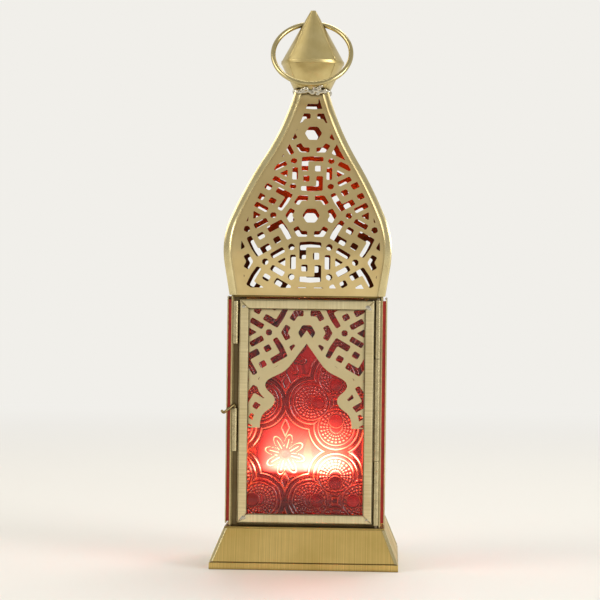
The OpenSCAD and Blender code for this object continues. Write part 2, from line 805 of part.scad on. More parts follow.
// A solid with the finial's section that widens or narrows from one half width to the other.
module flared(low_half, high_half, h)
    linear_extrude(h, scale = high_half / low_half) polygon(low_half * finial_section);

module flared_shell(low_half, high_half, h)
    difference() {
        flared(low_half, high_half, h);
        translate([0, 0, -over]) flared(
            low_half - sheet - over * (high_half - low_half) / h,
            high_half - sheet + over * (high_half - low_half) / h, h + 2 * over);
    }

cup_z = neck_z;
rim_z = cup_z + cup_h;
spire_z = rim_z + rim_h;
tip_z = spire_z + spire_h;
cup_half = neck_w / 2;

module finial_cup() {
    color(brass) translate([0, 0, cup_z]) flared_shell(cup_half, rim_half, cup_h);
}

// Flat folded band where the cup and the spire meet.
module finial_rim() {
    color(brass) translate([0, 0, rim_z]) difference() {
        linear_extrude(rim_h) polygon((rim_half + trim_t / 2) * finial_section);
        translate([0, 0, -over]) linear_extrude(rim_h + 2 * over)
            polygon((rim_half - 2 * sheet) * finial_section);
    }
}

pivot_z = tip_z - ring_drop;
pivot_half = rim_half - (rim_half - tip_half) * (pivot_z - spire_z) / spire_h - sheet / 2;
pivot_drop = sqrt(ring_r * ring_r - pivot_half * pivot_half);
eye_r = 1.5 * wire_r;

// Hollow spire with an open tip and two holes for the ring.
module finial_spire() {
    color(brass) difference() {
        translate([0, 0, spire_z]) flared_shell(rim_half, tip_half, spire_h);
        translate([-rim_half, 0, pivot_z]) rotate([0, 90, 0])
            cylinder(h = 2 * rim_half, r = eye_r, $fn = small_fn);
    }
}

// Ring handle, threaded through the spire and tilted forward.
module ring_handle() {
    color(brass) translate([0, 0, pivot_z]) rotate([-ring_tilt, 0, 0]) translate([0, 0, -pivot_drop])
        rotate([90, 0, 0]) rotate_extrude($fn = round_fn) translate([ring_r, 0]) circle(wire_r, $fn = 24);
}

// Run of solder round the foot of the finial, with a lump on every side.
module neck_solder() {
    bead = neck_w / 10;
    lump_r = 1.2 * bead;
    lump_shares = [-0.5, 0, 0.4];
    band_half = cup_half + bead / 2;
    color("#b9b09a") difference() {
        union() {
            translate([0, 0, neck_z - bead]) linear_extrude(2 * bead) polygon(band_half * finial_section);
            for (turn = [0:90:270], at = lump_shares)
                rotate([0, 0, turn]) translate([at * cup_half, -cup_half, neck_z])
                    sphere(r = lump_r, $fn = 12);
        }
        translate([0, 0, cup_z]) flared(cup_half, rim_half, cup_h);
        neck_core();
    }
}

// What the roof and its seams fill just below the neck.
module neck_core() {
    drop = neck_w / 4;
    low = neck_half + trim_t / cos(neck_angle) - drop * tan(neck_angle);
    high = neck_half + trim_t / cos(neck_angle);
    translate([0, 0, neck_z - drop]) linear_extrude(drop, scale = high / low)
        square(2 * low, center = true);
}

// Candle

seat_z = floor_z + seat_h;
tealight_fit = tealight_r + play;
seat_half = tealight_fit + 2 * sheet;
seat_foot = seat_half + seat_h / 2;
wax_z = seat_z + tealight_h - wax_drop;
foot_r = tealight_r / 3;

// Pressed brass seat that lifts the candle off the floor.
module candle_seat() {
    color(gold) rotate_extrude($fn = round_fn) polygon([
        [0, seat_z - sheet], [seat_half - 2 * sheet, seat_z - sheet], [seat_half - sheet, floor_z + sheet],
        [seat_half - sheet, floor_z], [seat_foot, floor_z], [seat_foot, floor_z + sheet],
        [seat_half, floor_z + sheet], [seat_half - sheet, seat_z], [0, seat_z]
    ]);
}

// Upright collar round the foot of the tealight.
module candle_collar() {
    color(gold) translate([0, 0, seat_z]) tube(tealight_fit + trim_t, tealight_fit, 0, collar_h);
}

module tealight_cup() {
    color("#c9c9c6") translate([0, 0, seat_z]) rotate_extrude($fn = round_fn) polygon([
        [0, 0], [tealight_r, 0], [tealight_r, tealight_h], [tealight_r - cup_wall, tealight_h],
        [tealight_r - cup_wall, cup_wall], [0, cup_wall]
    ]);
}

// Wax with room for the wick and its metal foot.
module tealight_wax() {
    color("#f3e9d8") difference() {
        translate([0, 0, seat_z + cup_wall])
            cylinder(h = wax_z - seat_z - cup_wall, r = tealight_r - cup_wall, $fn = round_fn);
        translate([0, 0, seat_z + cup_wall - over]) cylinder(h = over + cup_wall, r = foot_r, $fn = small_fn);
        translate([0, 0, seat_z - over]) cylinder(h = tealight_h + 2 * over, r = wick_r, $fn = small_fn);
    }
}

module wick_foot() {
    color("#a8a8a4") translate([0, 0, seat_z + cup_wall]) cylinder(h = cup_wall, r = foot_r, $fn = small_fn);
}

module wick() {
    color("#3a3027") translate([0, 0, seat_z + 2 * cup_wall])
        cylinder(h = wax_z + wick_l - seat_z - 2 * cup_wall, r = wick_r, $fn = small_fn);
}

base_panel_front();
base_panel_right();
base_panel_back();
base_panel_left();
base_seam_front_right();
base_seam_back_right();
base_seam_back_left();
base_seam_front_left();
floor_plate();
sill_frame();
head_plate();
post_front_right();
post_back_right();
post_back_left();
post_front_left();
frame_right();
frame_back();
frame_left();
pane_right();
pane_back();
pane_left();
fret_right();
fret_back();
fret_left();
door_stile_hinge();
door_stile_catch();
door_rail_top();
door_rail_bottom();
door_pane();
door_fret();
door_knuckle();
post_knuckle_upper();
post_knuckle_lower();
hinge_pin();
catch_tube_upper();
catch_tube_lower();
catch_hook();
roof_panel_front();
roof_panel_right();
roof_panel_back();
roof_panel_left();
roof_seam_front_right();
roof_seam_back_right();
roof_seam_back_left();
roof_seam_front_left();
neck_solder();
finial_cup();
finial_rim();
finial_spire();
ring_handle();
candle_seat();
candle_collar();
tealight_cup();
tealight_wax();
wick_foot();
wick();
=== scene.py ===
import math

import bmesh
import bpy
import numpy as np
from mathutils import Matrix, Vector


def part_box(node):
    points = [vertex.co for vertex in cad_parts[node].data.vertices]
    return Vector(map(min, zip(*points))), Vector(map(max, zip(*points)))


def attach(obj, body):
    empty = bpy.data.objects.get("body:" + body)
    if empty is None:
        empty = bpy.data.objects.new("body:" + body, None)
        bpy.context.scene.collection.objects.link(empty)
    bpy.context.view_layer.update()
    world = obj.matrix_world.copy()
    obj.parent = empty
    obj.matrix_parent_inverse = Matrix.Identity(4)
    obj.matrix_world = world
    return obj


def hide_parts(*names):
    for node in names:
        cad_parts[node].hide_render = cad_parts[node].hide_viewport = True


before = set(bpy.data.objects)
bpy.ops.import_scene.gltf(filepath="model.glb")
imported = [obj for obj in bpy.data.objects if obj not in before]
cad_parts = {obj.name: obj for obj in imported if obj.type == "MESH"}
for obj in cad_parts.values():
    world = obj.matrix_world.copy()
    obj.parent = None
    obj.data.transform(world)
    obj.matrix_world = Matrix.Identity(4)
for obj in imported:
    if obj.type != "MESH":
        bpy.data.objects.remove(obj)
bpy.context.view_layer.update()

MM = 0.001

# Camera
# It stands 1.2 m in front of the door, a little to the right, level with the
# roof's lower edge, and leans by less than a degree as the photograph does.

aim = Vector((0, -0.038, 0.140))
distance = 1.2
side_angle = math.radians(2)
tilt = math.radians(0.72)
frame_px = 600
px_per_mm = 1.992
aim_px = (307.3, 289.8)
sensor_mm = 36


def put(name, data):
    """A new object in the scene for a mesh, a lamp or the camera."""
    made = bpy.data.objects.new(name, data)
    bpy.context.scene.collection.objects.link(made)
    return made


back = Vector((math.sin(side_angle), -math.cos(side_angle), 0))
right = Vector((0, 0, 1)).cross(back).normalized()
up = back.cross(right)
right_leaning = right * math.cos(tilt) + up * math.sin(tilt)
up_leaning = up * math.cos(tilt) - right * math.sin(tilt)
focal_px = px_per_mm / MM * distance
camera_data = bpy.data.cameras.new("camera")
camera_data.sensor_width = sensor_mm
camera_data.lens = focal_px * sensor_mm / frame_px
camera_data.shift_x = (frame_px / 2 - aim_px[0]) / frame_px
camera_data.shift_y = (aim_px[1] - frame_px / 2) / frame_px
camera = put("camera", camera_data)
camera.matrix_world = Matrix.Translation(aim + back * distance) @ Matrix(
    (right_leaning, up_leaning, back)).transposed().to_4x4()
bpy.context.scene.camera = camera
bpy.context.scene.view_settings.view_transform = "Standard"

# Studio
# A pale floor that keeps the lantern's shadow, a pale backdrop with a dimmer
# room in front of it, and three soft lamps at a plain level.

surround_colour, floor_colour = "#F1EFEA", "#DEDBD4"
room_level, backdrop_level = 0.6, 0.8
room_ends, backdrop_starts = -0.1, 0.5
paint_ends, glow_starts = 0.35, 1.6
floor_radii = (0.3, 0.8, 2.0, 8.0)
floor_spokes = 48


def linear(code):
    """An sRGB hex colour as linear red, green, blue and alpha."""
    parts = [int(code[i:i + 2], 16) / 255 for i in (1, 3, 5)]
    return [p / 12.92 if p <= 0.04045 else ((p + 0.055) / 1.055) ** 2.4 for p in parts] + [1]


def node(tree, kind, inputs=None, **settings):
    """Adds a node, sets what is named, and fills its inputs or links them. A node given for an
    input is linked by the first of its outputs in use."""
    made = tree.nodes.new("ShaderNode" + kind)
    for key, value in settings.items():
        setattr(made, key, value)
    for key, value in (inputs or {}).items():
        if isinstance(value, bpy.types.Node):
            value = next(output for output in value.outputs if output.enabled)
        if isinstance(value, bpy.types.NodeSocket):
            tree.links.new(value, made.inputs[key])
        else:
            made.inputs[key].default_value = value
    return made


def material(name):
    """A new material with an empty tree."""
    made = bpy.data.materials.new(name)
    made.use_nodes = True
    made.node_tree.nodes.clear()
    return made, made.node_tree


# The surround is at its full level for the rays that look at it, straight or through glass.
world = bpy.data.worlds.new("studio")
bpy.context.scene.world = world
world.use_nodes = True
tree = world.node_tree
tree.nodes.clear()
way = node(tree, "SeparateXYZ", {0: node(tree, "TexCoord").outputs["Generated"]})
lit = node(tree, "MapRange", {"Value": way.outputs[1], "From Min": room_ends,
                              "From Max": backdrop_starts, "To Min": room_level,
                              "To Max": backdrop_level})
path = node(tree, "LightPath")
seen = node(tree, "Math", {0: path.outputs["Is Camera Ray"],
                           1: path.outputs["Is Transmission Ray"]}, operation="MAXIMUM")
strength = node(tree, "MapRange", {"Value": seen, "To Min": lit, "To Max": 1.0})
light = node(tree, "Background", {"Color": linear(surround_colour), "Strength": strength})
node(tree, "OutputWorld", {"Surface": light})

# Matt paint near the lantern, which fades into the backdrop further out.
pale_floor, tree = material("pale_floor")
place = node(tree, "NewGeometry").outputs["Position"]
flat_place = node(tree, "VectorMath", {0: place, 1: (1, 1, 0)}, operation="MULTIPLY")
reach = node(tree, "VectorMath", {0: flat_place}, operation="LENGTH").outputs["Value"]
far = node(tree, "MapRange", {"Value": reach, "From Min": paint_ends, "From Max": glow_starts},
           interpolation_type="SMOOTHSTEP")
paint = node(tree, "BsdfPrincipled", {"Base Color": linear(floor_colour), "Roughness": 0.6})
glow = node(tree, "Emission", {"Color": linear(surround_colour), "Strength": 1.0})
fade = node(tree, "MixShader", {0: far, 1: paint, 2: glow})
node(tree, "OutputMaterial", {"Surface": fade})

turns = [2 * math.pi * i / floor_spokes for i in range(floor_spokes)]
verts = [(0, 0, 0)] + [(r * math.cos(turn), r * math.sin(turn), 0)
                       for r in floor_radii for turn in turns]
faces = [(0, 1 + i, 1 + (i + 1) % floor_spokes) for i in range(floor_spokes)]
for ring in range(len(floor_radii) - 1):
    first = 1 + ring * floor_spokes
    for i in range(floor_spokes):
        j = (i + 1) % floor_spokes
        faces.append((first + i, first + floor_spokes + i, first + floor_spokes + j, first + j))
floor_mesh = bpy.data.meshes.new("floor")
floor_mesh.from_pydata(verts, [], faces)
floor_mesh.materials.append(pale_floor)
floor = put("floor", floor_mesh)

# Square lamps that face the lantern's middle: place, size in metres, watts and colour.
for name, place, size, power, colour in (
        ("key_lamp", (-1.45, -0.75, 1.2), 1.2, 14, "#FFF8EE"),
        ("fill_lamp", (1.4, -1.0, 0.7), 0.9, 17, "#FFFFFF"),
        ("top_lamp", (0.2, 0.9, 1.6), 0.9, 14, "#FFFFFF")):
    data = bpy.data.lights.new(name, "AREA")
    data.size = size
    data.energy = power
    data.color = linear(colour)[:3]
    lamp = put(name, data)
    lamp.location = place
    lamp.rotation_euler = (aim - Vector(place)).to_track_quat("-Z", "Y").to_euler()

# Base
# Four folded walls of thin brass sheet, brushed up and down and lacquered a
# warm gold, with narrower strips folded over the corners and soldered.

walls = ("front", "right", "back", "left")
corners = ("front_right", "back_right", "back_left", "front_left")
# A dark brown towards which painted shade darkens the brass.
shade_brown = "#3E2A16"
tooth_depth_mm, line_depth_mm = 0.05, 0.08
# Reach and depth of the painted shade in joints, then the fade and depth of the painted shade
# inside the lantern.
crevice_shade_reach_mm, crevice_shade_share = 1.6, 0.85
inside_shade_fade_mm, inside_shade_share = 0.3, 0.8
fold_angle = 40
weld_mm = 0.002


def per_metre(value_mm):
    """How many pattern periods of this size fit in a metre."""
    return 1 / (value_mm * MM)


def brass(name, colour, dark, roughness, patch_mm=14, grain_mm=0.35, bump=0.15, brushed=None,
          line_mm=1.1, line_share=0.3, shade_inside_mm=None):
    """Thin sheet brass, rolled, brushed and polished by hand: a pale gold metal whose colour and
    polish drift from patch to patch. The tooth and the brushed lines are finer on the real sheet,
    and are drawn as coarse as they need to show. Painted shade darkens its folds and joints,
    where nearby surfaces hide them, and can darken its faces inside the lantern."""
    made, tree = material(name)
    coords = node(tree, "TexCoord")
    place = coords.outputs["Object"]
    at = node(tree, "SeparateXYZ", {0: place})
    patch = node(tree, "TexNoise", {"Vector": place, "Scale": per_metre(patch_mm), "Detail": 4.0})
    tooth = node(tree, "TexNoise", {"Vector": place, "Scale": per_metre(grain_mm), "Detail": 2.0})
    tint = node(tree, "MapRange", {"Value": patch, "From Min": 0.3, "From Max": 0.75,
                                   "To Max": 0.55})
    tone = node(tree, "Mix", {0: tint, 6: linear(colour), 7: linear(dark)}, data_type="RGBA")
    relief = node(tree, "Bump", {"Height": tooth, "Strength": bump,
                                 "Distance": tooth_depth_mm * MM})
    if brushed:
        # Level strokes change with height, and upright ones with the way along the face.
        line_at = at.outputs[2]
        if brushed == "upright":
            facing = node(tree, "SeparateXYZ", {0: coords.outputs["Normal"]})
            aside, ahead = [node(tree, "Math", {0: facing.outputs[i]}, operation="ABSOLUTE")
                            for i in (0, 1)]
            sideways = node(tree, "Math", {0: aside, 1: ahead}, operation="GREATER_THAN")
            line_at = node(tree, "Mix", {0: sideways, 2: at.outputs[0], 3: at.outputs[1]})
        lines = node(tree, "TexNoise", {"W": line_at, "Scale": per_metre(line_mm), "Detail": 3.0},
                     noise_dimensions="1D")
        share = node(tree, "MapRange", {"Value": lines, "From Min": 0.35, "From Max": 0.7,
                                        "To Max": line_share})
        tone = node(tree, "Mix", {0: share, 6: tone, 7: linear(dark)}, data_type="RGBA")
        relief = node(tree, "Bump", {"Height": lines, "Strength": 0.35,
                                     "Distance": line_depth_mm * MM, "Normal": relief})
    # Painted shade: faces closer to the middle than the lantern's walls are darkened.
    if shade_inside_mm:
        across = [node(tree, "Math", {0: at.outputs[i]}, operation="ABSOLUTE") for i in (0, 1)]
        reach = node(tree, "Math", {0: across[0], 1: across[1]}, operation="MAXIMUM")
        inside_shade = node(tree, "MapRange", {"Value": reach, "From Min": (shade_inside_mm - inside_shade_fade_mm) * MM,
                                        "From Max": shade_inside_mm * MM, "To Min": inside_shade_share,
                                        "To Max": 0.0})
        tone = node(tree, "Mix", {0: inside_shade, 6: tone, 7: linear(shade_brown)}, data_type="RGBA")
    # Painted shade in folds, joints and holes: the brass darkens where nearby surfaces are close.
    open_share = node(tree, "AmbientOcclusion", {"Distance": crevice_shade_reach_mm * MM},
                      samples=6).outputs["AO"]
    crevice_shade = node(tree, "MapRange", {"Value": open_share, "From Min": 0.4, "From Max": 0.92,
                                   "To Min": crevice_shade_share, "To Max": 0.0})
    tone = node(tree, "Mix", {0: crevice_shade, 6: tone, 7: linear(shade_brown)}, data_type="RGBA")
    rough = node(tree, "MapRange", {"Value": patch, "To Min": roughness * 0.75,
                                    "To Max": roughness * 1.3})
    metal = node(tree, "BsdfPrincipled", {"Base Color": tone, "Metallic": 1.0, "Roughness": rough,
                                          "Normal": relief})
    node(tree, "OutputMaterial", {"Surface": metal})
    return made


def dress(names, finish, edge_mm=0.12, flat=True, clamp=True):
    """Gives the lantern's own solids a finish, and rounds their edges as folded and filed sheet
    is."""
    for name in names:
        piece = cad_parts[name]
        piece.data.materials.clear()
        piece.data.materials.append(finish)
        piece.data.polygons.foreach_set("use_smooth", [True] * len(piece.data.polygons))
        weld = piece.modifiers.new("weld", "WELD")
        weld.merge_threshold = weld_mm * MM
        if edge_mm:
            edge = piece.modifiers.new("edge", "BEVEL")
            edge.width = edge_mm * MM
            edge.segments = 3
            edge.limit_method = "ANGLE"
            edge.angle_limit = math.radians(fold_angle)
            edge.use_clamp_overlap = clamp
        if flat:
            level = piece.modifiers.new("level", "WEIGHTED_NORMAL")
            level.weight = 90


base_brass = brass("brushed_gold_brass", "#EACB80", "#A3883F", 0.4, patch_mm=26,
                   brushed="upright", line_mm=0.6, line_share=0.4)
seam_brass = brass("folded_seam_brass", "#DCCD9C", "#AA996C", 0.26)
dress([f"base_panel_{w}" for w in walls], base_brass, 0.18)
dress([f"base_seam_{c}" for c in corners], seam_brass, 0.1)

# Floor, posts and frames
# Pale folded brass strip and sheet, brushed across, cut by hand and joined with soft solder.
# The faces that look into the lantern are darkened with painted shade.

inside_mm = 36.9
# A darker copy of the brass, as painted shade, for the pieces inside the lantern and the plate
# under the roof.
inner_brass = brass("inner_brass", "#B79F5E", "#7A6236", 0.4)
post_brass = brass("post_brass", "#D8C792", "#A8966A", 0.3, brushed="level", line_share=0.25,
                   shade_inside_mm=inside_mm)
frame_brass = brass("frame_brass", "#DACA98", "#AA996C", 0.3, brushed="level", line_share=0.25)
dress(["floor_plate", "candle_seat", "candle_collar", "head_plate"], inner_brass, 0.1)
dress(["sill_frame"] + [f"post_{c}" for c in corners], post_brass)
dress([f"frame_{w}" for w in walls[1:]], frame_brass)

# Hinge and catch tubes
# The edges of brass strips, rolled round a nail and hammered: a rough, dented skin.

tube_brass = brass("rolled_tube_brass", "#CDBF95", "#7E6C48", 0.26, patch_mm=3, grain_mm=1.2,
                   bump=0.8)
pin_wire = brass("dull_pin_wire", "#9C9078", "#5E5442", 0.45)
dress(["post_knuckle_upper", "post_knuckle_lower", "door_knuckle", "catch_tube_upper",
       "catch_tube_lower"], tube_brass, 0.08)
dress(["hinge_pin"], pin_wire, 0.08)

# Pierced plates
# Flat brass plate with the punched pattern, lying on the glass.

fret_brass = brass("punched_plate_brass", "#DDCCA0", "#C6B584", 0.38)
dress([f"fret_{w}" for w in walls[1:]] + ["door_fret"], fret_brass, 0.06)

# Door
# Four mitred channels of brass strip round a pane of glass, brushed across their length.

channel_edge_mm = 0.8
stile_brass = brass("door_stile_brass", "#F0E0B2", "#BEAA78", 0.3, brushed="level",
                    line_share=0.35)
rail_brass = brass("door_rail_brass", "#F0E2B6", "#C4B07E", 0.3, brushed="upright",
                   line_share=0.35)
dress(["door_stile_hinge", "door_stile_catch"], stile_brass, channel_edge_mm, clamp=False)
dress(["door_rail_top", "door_rail_bottom"], rail_brass, channel_edge_mm, clamp=False)

# Glass
# Pressed soda-lime glass, coloured red in the melt: four-lobed medallions with fans of small
# dots inside lines that run together, and open flowers between them. The pattern is moulded
# on the outer face, and the inner face is smooth.

# Sizes of the pattern in millimetres, and heights from 0 in the ground to 1.
relief_depth = 0.55
period = (50.8, 49.2)
knot_at = (15.2, 58.8)
bead_half = (1.7, 2.3)
lobe_out = 12.5
line_radii = ((9.0, 0.32, 0.9), (11.0, 0.36, 1.0), (12.3, 0.8, 0.42), (13.6, 0.4, 0.9))
vein_width, vein_low, vein_high = 0.6, 2, 11
drop_shift, drop_r, drop_line_r, drop_line_reach = 0.72, 3.3, 3.7, 7.6
dot_pitch, dots_round = 1.5, 24
fan_low, fan_high, fan_gap = 2.2, 8.2, 4.1
flower_drop, flower_turn = 1.6, 0.25
eye_r, petal_foot, petal_low, petal_long, petal_high = 1.7, 2.6, 2.4, 7.6, 11
petal_vein_low, petal_vein_high = 3, 8
leaf_up, leaf_half = 13.2, (2.0, 4.2)


def ridge(d, width):
    """A rounded line, 1 at its middle, at a distance from it."""
    return np.exp(-(d / width) ** 2)


def wrapped(values, length):
    """Places on a repeating pattern, measured from the middle of the nearest copy."""
    return (values + length / 2) % length - length / 2


def pressed_relief(x, z):
    """The moulded pattern at places in millimetres: its height, and that of its lines and dots
    alone, from 0 in the ground to 1."""
    u, v = x - knot_at[0], z - knot_at[1]
    # A medallion's four lobes: the nearest one, the distance from it and the way towards it.
    mu, mv = wrapped(u, period[0]), wrapped(v - period[1] / 2, period[1])
    lobes = [(lobe_out, 0), (0, lobe_out), (-lobe_out, 0), (0, -lobe_out)]
    far = np.stack([np.hypot(mu - cx, mv - cz) for cx, cz in lobes])
    nearest = far.argmin(0)
    r, next_r = np.sort(far, 0)[:2]
    cx, cz = np.array(lobes)[nearest].transpose(2, 0, 1)
    a = np.arctan2(mv - cz, mu - cx)
    height = np.zeros_like(u)
    for radius, width, tall in line_radii:
        height = np.maximum(height, tall * ridge(r - radius, width))
    # Veins where two lobes meet inside the medallion.
    inside = (r < vein_high) & (np.hypot(mu, mv) > vein_low)
    height = np.maximum(height, 0.8 * ridge(next_r - r, vein_width) * inside)
    # Rows of dots fan out from a smooth drop on the inner side of each lobe.
    inward = np.hypot(mu - drop_shift * cx, mv - drop_shift * cz)
    drop = np.sqrt(np.clip(1 - (inward / drop_r) ** 2, 0, 1))
    rows = 0.5 + 0.5 * np.cos(2 * math.pi * r / dot_pitch)
    dots = rows * (0.5 + 0.5 * np.cos(dots_round * a))
    fan = (r > fan_low) & (r < fan_high) & (inward > fan_gap)
    lines = np.where(fan, np.maximum(height, np.clip(1.7 * dots, 0, 1)), height)
    rim = 0.8 * ridge(inward - drop_line_r, 0.34) * (r < drop_line_reach)
    lines = np.maximum(lines, rim)
    # An open flower with eight veined petals between the medallions.
    fu, fv = wrapped(u - period[0] / 2, period[0]), wrapped(v + flower_drop, period[1])
    r, a = np.hypot(fu, fv), np.arctan2(fv, fu) + flower_turn
    petal = np.abs(np.cos(4 * a)) ** 0.7
    edge = petal_low + petal_long * petal
    leaf = np.clip((edge - r) / 1.0, 0, 1) * np.clip((r - petal_foot) / 0.8, 0, 1)
    drawn = (petal > 0.12) & (r > petal_foot) & (r < petal_high)
    lines = np.maximum(lines, ridge(r - edge, 0.45) * drawn)
    veined = (petal > 0.7) & (r > petal_vein_low) & (r < petal_vein_high)
    lines = np.maximum(lines, 0.85 * ridge(np.sin(4 * a) * r / 4, 0.3) * veined)
    # Four small leaves beyond the flower, and a bead on each knot of the lines.
    for cz in (leaf_up, -leaf_up):
        tip = np.abs(fu) / leaf_half[0] + np.abs(fv - cz) / leaf_half[1]
        lines = np.maximum(lines, 0.9 * ridge(tip - 1, 0.22))
    bead = (np.abs(wrapped(u, period[0])) / bead_half[0]
            + np.abs(wrapped(v, period[1])) / bead_half[1])
    eye = np.sqrt(np.clip(1 - (r / eye_r) ** 2, 0, 1))
    domes = np.maximum(0.85 * drop, 0.9 * eye)
    domes = np.maximum(np.maximum(domes, 0.35 * leaf), 0.9 * np.clip(1.3 - bead, 0, 1))
    return np.clip(np.maximum(lines, domes), 0, 1), np.clip(lines, 0, 1)


# The moulded face: it tints all that is seen through it, and its ridges gather more of the
# candle's light. Its tint is paler on the ridge tops, a painted highlight, and darker on the flanks
# of the lines, painted shade; its ground stays deep red.
pressed_glass, tree = material("pressed_red_glass")
place = node(tree, "TexCoord").outputs["Object"]
cloud = node(tree, "TexNoise", {"Vector": place, "Scale": per_metre(9), "Detail": 3.0})
raised = node(tree, "Attribute", attribute_name="lines").outputs["Fac"]
tone = node(tree, "Mix", {0: cloud, 6: linear("#BA1410"), 7: linear("#94060C")},
            data_type="RGBA")
# Painted shade on the flanks of the lines, and a painted highlight on their tops.
flank_shade = node(tree, "MapRange", {"Value": raised, "From Min": 0.08, "From Max": 0.3})
top = node(tree, "MapRange", {"Value": raised, "From Min": 0.4, "From Max": 0.75})
flank_shaded_tone = node(tree, "Mix", {0: flank_shade, 6: tone, 7: linear("#5A0806")}, data_type="RGBA")
bright = node(tree, "Mix", {0: top, 6: flank_shaded_tone, 7: linear("#FF5A48")}, data_type="RGBA")
clear = node(tree, "BsdfPrincipled", {"Base Color": bright, "Transmission Weight": 1.0,
                                      "Roughness": 0.12, "IOR": 1.5})
glow_tone = node(tree, "Mix", {0: top, 6: linear("#B01014"), 7: linear("#FF7A4A")},
                 data_type="RGBA")
spread = node(tree, "BsdfTranslucent", {"Color": glow_tone})
milk = node(tree, "MapRange", {"Value": raised, "To Min": 0.02, "To Max": 0.13})
both = node(tree, "MixShader", {0: milk, 1: clear, 2: spread})
node(tree, "OutputMaterial", {"Surface": both})

# The smooth inner face: the light passes straight through it, with a faint reflection.
smooth_glass, tree = material("smooth_red_glass")
through = node(tree, "BsdfTransparent", {"Color": linear("#FFE0DC")})
shine = node(tree, "BsdfGlossy", {"Color": linear("#FFD8D4"), "Roughness": 0.05})
rim_light = node(tree, "Fresnel", {"IOR": 1.5})
both = node(tree, "MixShader", {0: rim_light, 1: through, 2: shine})
node(tree, "OutputMaterial", {"Surface": both})

# The cut edges: a ground face that glows faintly by itself, a painted glow for light that runs
# along inside the pane and comes out there.
cut_glass, tree = material("cut_red_glass_edge")
place = node(tree, "TexCoord").outputs["Object"]
grit = node(tree, "TexNoise", {"Vector": place, "Scale": per_metre(2.5)})
edge_tone = node(tree, "Mix", {0: grit, 6: linear("#C22C1A"), 7: linear("#780A0E")},
                 data_type="RGBA")
# The emission is a painted glow.
ground = node(tree, "BsdfPrincipled", {"Base Color": edge_tone, "Roughness": 0.5,
                                       "Emission Color": edge_tone, "Emission Strength": 0.2})
node(tree, "OutputMaterial", {"Surface": ground})


def pressed_pane(name, replaced, body, turn, step_mm):
    """A slab of glass in the place of a plain pane, drawn for the front and turned to its
    side."""
    low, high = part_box(replaced)
    size = high - low
    width, thick = (size.y, size.x) if turn % 180 else (size.x, size.y)
    middle = (low + high) / 2
    columns, rows = int(width / MM / step_mm), int(size.z / MM / step_mm)
    xs, zs = np.meshgrid(np.linspace(-width / 2, width / 2, columns + 1),
                         np.linspace(low.z, high.z, rows + 1))
    relief, lines = pressed_relief(xs / MM, zs / MM)
    front = np.stack([xs, relief_depth * MM * (1 - relief), zs], -1).reshape(-1, 3)
    n, m = columns + 1, rows + 1
    rim = (list(range(n)) + [j * n + n - 1 for j in range(1, m)]
           + [(m - 1) * n + i for i in range(n - 2, -1, -1)] + [j * n for j in range(m - 2, 0, -1)])
    front[rim, 1] = 0
    rear = front[rim].copy()
    rear[:, 1] = thick
    points = np.concatenate([front, rear])
    corner = (np.arange(rows)[:, None] * n + np.arange(columns)[None]).ravel()
    faces = [(int(i), int(i + 1), int(i + n + 1), int(i + n)) for i in corner]
    first, k = len(front), len(rim)
    faces += [(rim[(i + 1) % k], rim[i], first + i, first + (i + 1) % k) for i in range(k)]
    faces.append(tuple(first + i for i in range(k - 1, -1, -1)))
    c, s = math.cos(math.radians(turn)), math.sin(math.radians(turn))
    points[:, 1] -= thick / 2
    points = points @ np.array([[c, s, 0], [-s, c, 0], [0, 0, 1]]) + np.array(
        [middle.x, middle.y, 0])
    mesh = bpy.data.meshes.new(name)
    mesh.from_pydata(points.tolist(), [], faces)
    for finish in (pressed_glass, smooth_glass, cut_glass):
        mesh.materials.append(finish)
    mesh.polygons.foreach_set("use_smooth", [True] * len(corner) + [False] * (k + 1))
    mesh.polygons.foreach_set("material_index", [0] * len(corner) + [2] * k + [1])
    mesh.attributes.new("lines", "FLOAT", "POINT").data.foreach_set(
        "value", np.concatenate([lines.ravel(), np.zeros(k)]).astype(np.float32))
    piece = put(name, mesh)
    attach(piece, body)
    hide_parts(replaced)


pressed_pane("door_glass", "door_pane", "door", 0, 0.3)
pressed_pane("glass_right", "pane_right", "lantern", 90, 0.4)
pressed_pane("glass_back", "pane_back", "lantern", 180, 0.4)
pressed_pane("glass_left", "pane_left", "lantern", 270, 0.4)

# Roof
# Four pierced sheets, bent by hand over a form, with strips folded over their corners. They
# are shaded as the true rolled curve in place of its flats. Inside they are red-brown, with a
# pool of the candle's light painted on them.

half_width, eave_z, flare_z = 38.4, 137.0, 153.0
flare_angle, shoulder_angle, sweep_angle = 9.0, -22.3, -30.7
bulge_r, shoulder_r, sweep_r = 43.0, 220.0, 153.0
strip_width, strip_crown = 3.4, 0.5
sheet_match = 0.975
# How far the edge of the painted pool of candlelight wanders, and the heights in mm where it rises
# and fades.
glow_drift_mm, inside_rough = 10, 0.5
glow_low, glow_high, glow_fade_low, glow_fade_high = 158, 200, 208, 232


def outward(angle):
    """The roof's outward direction, across and up, where its side leans out by the angle."""
    return np.array([math.cos(math.radians(angle)), -math.sin(math.radians(angle))])


flare_out = (flare_z - eave_z) * math.tan(math.radians(flare_angle))
flare_top = np.array([half_width + flare_out, flare_z])
bulge_c = flare_top - bulge_r * outward(flare_angle)
bulge_top = bulge_c + bulge_r * outward(shoulder_angle)
shoulder_c = bulge_top - shoulder_r * outward(shoulder_angle)
shoulder_top = shoulder_c + shoulder_r * outward(sweep_angle)
sweep_c = shoulder_top + sweep_r * outward(sweep_angle)


def roof_direction(across, z):
    """Outward directions of the roof's side at places given in millimetres."""
    at = np.stack([across, z], -1)
    way = np.where((z < flare_top[1])[:, None], outward(flare_angle), at - bulge_c)
    way = np.where((z > bulge_top[1])[:, None], at - shoulder_c, way)
    way = np.where((z > shoulder_top[1])[:, None], sweep_c - at, way)
    return way / np.linalg.norm(way, axis=1)[:, None]


